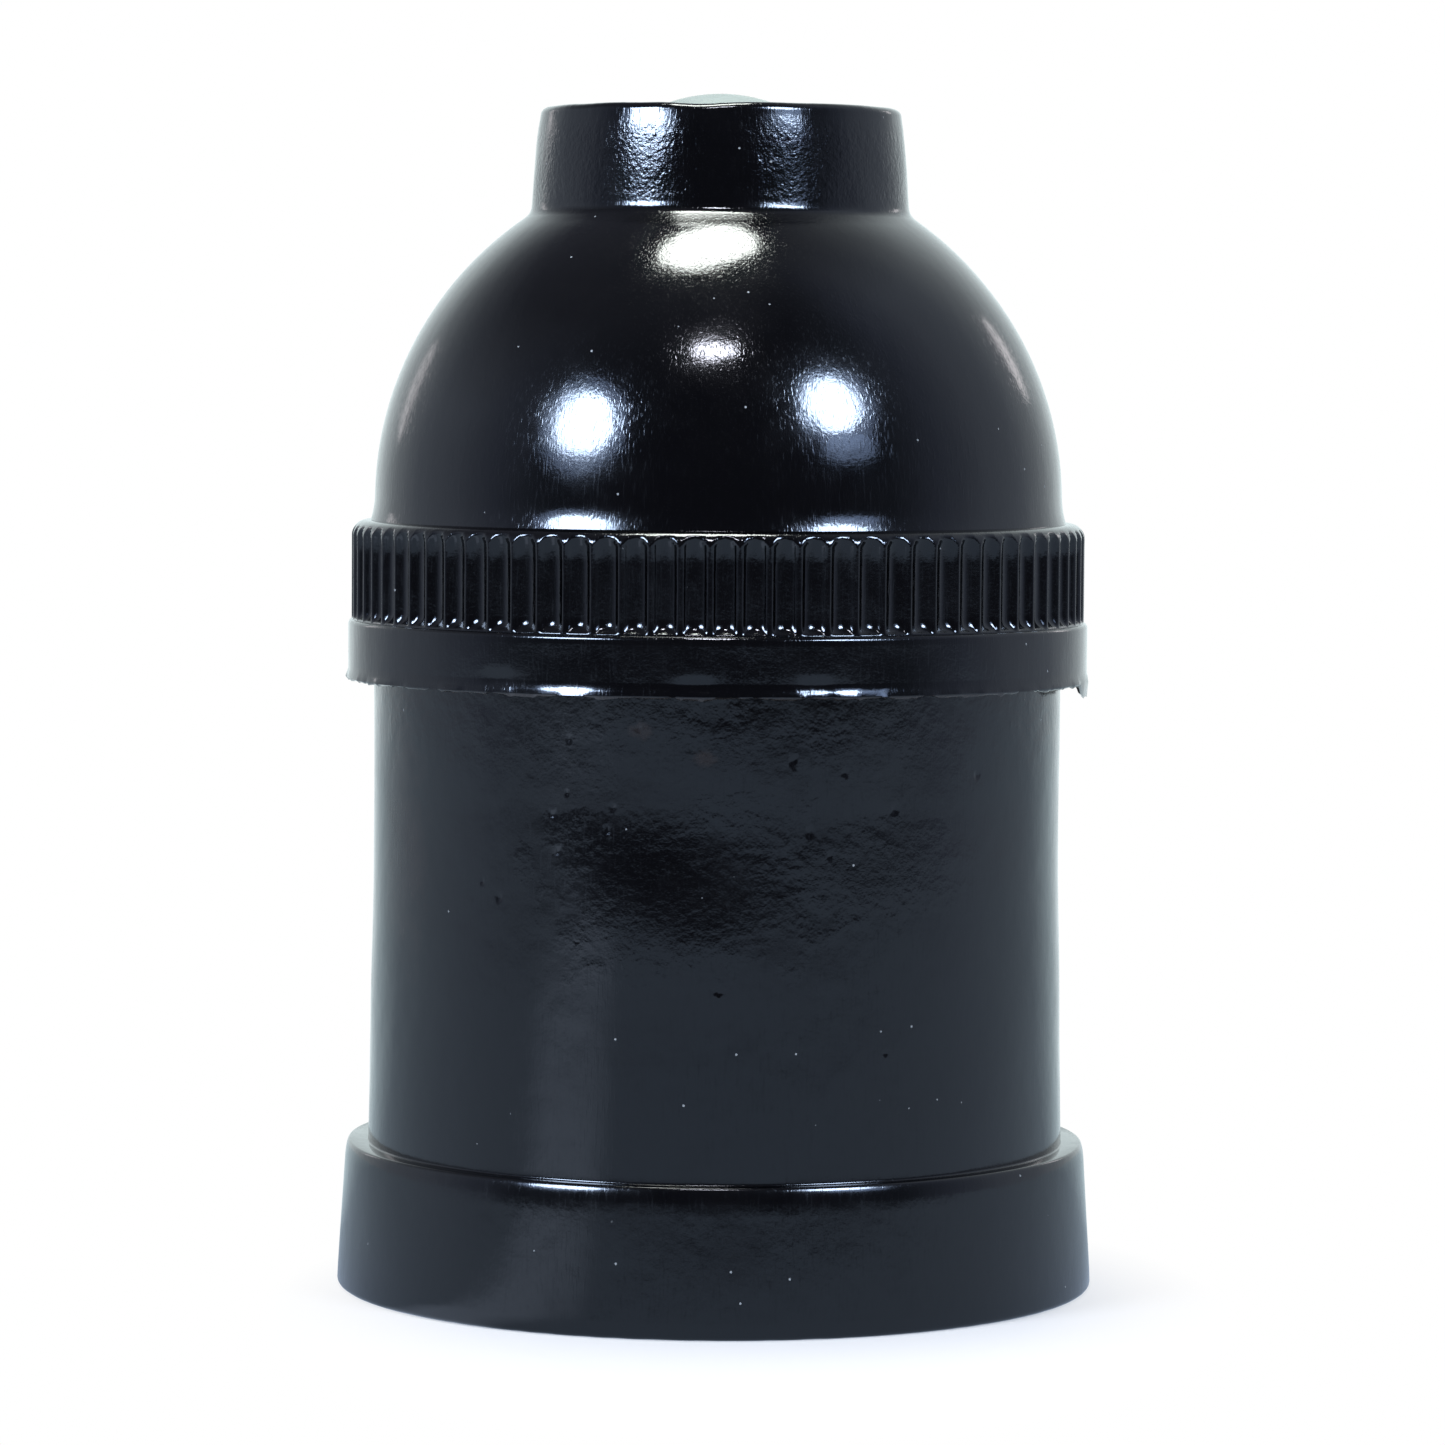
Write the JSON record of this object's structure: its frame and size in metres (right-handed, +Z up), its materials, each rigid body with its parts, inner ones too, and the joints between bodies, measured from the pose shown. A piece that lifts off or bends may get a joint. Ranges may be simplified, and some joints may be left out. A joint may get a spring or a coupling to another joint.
{
  "type": "lamp socket",
  "caption": "Pendant lamp socket: black moulded housing with a flanged mouth, a knurled domed screw cap with a pipe-thread neck, and a porcelain block carrying the screw shell.",
  "frame": {"origin": "centre of the mouth rim's plane, on which the socket stands mouth down", "axes": "+Z up along the socket's axis to the neck; the neck's set screw faces +Y, the pictured side faces -Y"},
  "size_m": [0.0444, 0.0444, 0.0699],
  "materials": {
    "black_phenolic": "glossy black moulded phenolic with slight orange peel",
    "porcelain": "white glazed porcelain",
    "brass": "plain rolled brass",
    "nickel": "nickel-plated brass",
    "plated_steel": "zinc-plated steel",
    "dull_aluminium": "dull grey aluminium",
    "fibre": "red-brown vulcanised fibre"
  },
  "bodies": {
    "housing": {"housing": "black_phenolic", "seat_washer": "fibre"},
    "interior": {"terminal_block": "porcelain", "screw_shell": "brass", "contact_rivet": "brass", "shell_rivet": "brass", "neutral_rivet": "brass", "line_terminal": "brass", "neutral_terminal": "nickel"},
    "line_screw": {"line_screw": "brass", "line_clamp": "brass"},
    "neutral_screw": {"neutral_screw": "nickel", "neutral_clamp": "nickel"},
    "contact": {"centre_contact": "brass"},
    "cap": {"cap": "black_phenolic", "neck_bush": "plated_steel"},
    "plug": {"entry_plug": "dull_aluminium"},
    "set_screw": {"set_screw": "plated_steel"}
  },
  "joints": [
    {"name": "cap_turn", "type": "hinge", "parent": "housing", "child": "interior", "pos_m": [0, 0, 0], "axis": [0, 0, 1], "range_deg": [0, 900]},
    {"name": "cap_lift", "type": "slide", "parent": "interior", "child": "cap", "axis": [0, 0, 1], "range_m": [0, 0.0075]},
    {"name": "line_screw_back", "type": "slide", "parent": "interior", "child": "line_screw", "axis": [0, 0, 1], "range_m": [0, 0.0025]},
    {"name": "neutral_screw_back", "type": "slide", "parent": "interior", "child": "neutral_screw", "axis": [0, 0, 1], "range_m": [0, 0.0025]},
    {"name": "contact_press", "type": "hinge", "parent": "interior", "child": "contact", "pos_m": [0, 0.005, 0.03073], "axis": [-1, 0, 0], "range_deg": [0, 8], "stiffness_Nm_per_rad": 0.18},
    {"name": "plug_pull", "type": "slide", "parent": "cap", "child": "plug", "axis": [0, 0, 1], "range_m": [0, 0.02]},
    {"name": "set_screw_back", "type": "slide", "parent": "cap", "child": "set_screw", "axis": [0, 1, 0], "range_m": [0, 0.003]}
  ],
  "couplings": [
    {"joint": "cap_turn", "follows": "cap_lift", "rad_per_m": 2094.4}
  ]
}
